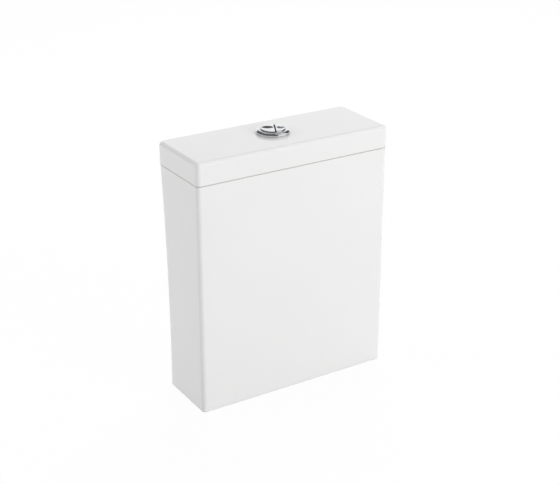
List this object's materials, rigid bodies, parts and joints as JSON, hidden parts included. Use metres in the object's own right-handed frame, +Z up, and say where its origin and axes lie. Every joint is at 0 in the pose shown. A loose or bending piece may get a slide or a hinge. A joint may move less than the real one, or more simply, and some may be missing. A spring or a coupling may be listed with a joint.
{
  "type": "toilet cistern",
  "caption": "White glazed china close-coupled toilet cistern with a chrome dual-flush button in its lid, a rack-and-pinion flush valve and a bottom-inlet fill valve.",
  "frame": {"origin": "under the middle of the lid, on the plane of the tank's foot", "axes": "+Z up, -Y the front, +Y the wall, +X to the right as seen from the front"},
  "size_m": [0.36, 0.134, 0.4455],
  "materials": {
    "china": "glazed white",
    "chrome": "polished",
    "white_plastic": "moulded",
    "grey_plastic": "moulded",
    "blue_plastic": "moulded",
    "rubber": "matte",
    "steel": "drawn wire"
  },
  "bodies": {
    "cistern": {"tank": "china", "outlet_base": "white_plastic", "outlet_washer": "rubber", "outlet_backnut": "white_plastic", "pan_gasket": "rubber", "valve_tower": "grey_plastic", "drive_frame": "white_plastic", "fill_shank": "white_plastic", "inlet_washer": "rubber", "inlet_backnut": "white_plastic", "inlet_filter": "blue_plastic", "fill_head": "white_plastic", "fill_cap": "grey_plastic", "diaphragm": "rubber", "hush_tube": "grey_plastic", "lever_pin": "steel"},
    "lid": {"lid": "china", "bezel_pad": "rubber", "button_bezel": "chrome", "button_sleeve": "white_plastic", "lid_nut": "white_plastic"},
    "full_key": {"full_flush_key": "chrome", "full_push_rod": "white_plastic", "full_key_spring": "steel"},
    "half_key": {"half_flush_key": "chrome", "half_push_rod": "white_plastic", "half_key_spring": "steel"},
    "full_plunger": {"full_plunger": "blue_plastic"},
    "half_plunger": {"half_plunger": "blue_plastic"},
    "full_pinion": {"full_pinion": "blue_plastic"},
    "half_pinion": {"half_pinion": "blue_plastic"},
    "full_carrier": {"full_lifter": "blue_plastic", "full_flush_float": "white_plastic"},
    "half_lifter": {"half_lifter": "white_plastic"},
    "valve_stem": {"overflow_tube": "white_plastic", "seal_disc": "white_plastic", "valve_seal": "rubber", "seal_retainer": "grey_plastic", "half_flush_float": "blue_plastic"},
    "float_clip": {"screw_clip": "white_plastic"},
    "float_lever": {"float_lever": "blue_plastic"},
    "float_screw": {"float_screw": "blue_plastic"},
    "fill_float": {"fill_float": "white_plastic"}
  },
  "joints": [
    {"name": "lid_lift", "type": "slide", "parent": "cistern", "child": "lid", "axis": [0, 0, 1], "range_m": [0, 0.15]},
    {"name": "full_press", "type": "slide", "parent": "lid", "child": "full_key", "axis": [0, 0, -1], "range_m": [0, 0.009], "stiffness_N_per_m": 150, "springref_m": -0.012, "deforming": ["full_key_spring"]},
    {"name": "half_press", "type": "slide", "parent": "lid", "child": "half_key", "axis": [0, 0, -1], "range_m": [0, 0.009], "stiffness_N_per_m": 150, "springref_m": -0.012, "deforming": ["half_key_spring"]},
    {"name": "full_plunge", "type": "slide", "parent": "cistern", "child": "full_plunger", "axis": [0, 0, -1], "range_m": [0, 0.009]},
    {"name": "full_turn", "type": "hinge", "parent": "cistern", "child": "full_pinion", "pos_m": [-0.0225, 0, 0.3404], "axis": [0, 1, 0], "range_deg": [0, 69]},
    {"name": "half_plunge", "type": "slide", "parent": "cistern", "child": "half_plunger", "axis": [0, 0, -1], "range_m": [0, 0.009]},
    {"name": "half_turn", "type": "hinge", "parent": "cistern", "child": "half_pinion", "pos_m": [0.0225, 0, 0.3404], "axis": [0, -1, 0], "range_deg": [0, 69]},
    {"name": "full_lift", "type": "slide", "parent": "cistern", "child": "full_carrier", "axis": [0, 0, 1], "range_m": [0, 0.009]},
    {"name": "half_lift", "type": "slide", "parent": "cistern", "child": "half_lifter", "axis": [0, 0, 1], "range_m": [0, 0.009]},
    {"name": "stem_lift", "type": "slide", "parent": "full_carrier", "child": "valve_stem", "axis": [0, 0, 1], "range_m": [0, 0.009]},
    {"name": "float_rise", "type": "slide", "parent": "cistern", "child": "float_clip", "axis": [0, 0, 1], "range_m": [0, 0.01197]},
    {"name": "lever_swing", "type": "hinge", "parent": "cistern", "child": "float_lever", "pos_m": [0.1222, -0.006, 0.336], "axis": [0, 1, 0], "range_deg": [0, 16]},
    {"name": "float_level", "type": "slide", "parent": "float_clip", "child": "fill_float", "axis": [0, 0, 1], "range_m": [-0.006, 0.006]},
    {"name": "level_turn", "type": "hinge", "parent": "float_clip", "child": "float_screw", "pos_m": [0.0792, -0.006, 0.33002], "axis": [0, 0, 1], "range_deg": [-1085, 1085]}
  ],
  "couplings": [
    {"joint": "full_plunge", "follows": "full_press", "ratio": 1},
    {"joint": "full_turn", "follows": "full_press", "rad_per_m": 133.33},
    {"joint": "half_plunge", "follows": "half_press", "ratio": 1},
    {"joint": "half_turn", "follows": "half_press", "rad_per_m": 133.33},
    {"joint": "full_lift", "follows": "full_press", "ratio": 1},
    {"joint": "half_lift", "follows": "half_press", "ratio": 1},
    {"joint": "stem_lift", "follows": "half_press", "ratio": 1},
    {"joint": "lever_swing", "follows": "float_rise", "rad_per_m": 23.332},
    {"joint": "level_turn", "follows": "float_level", "rad_per_m": 3141.6}
  ]
}
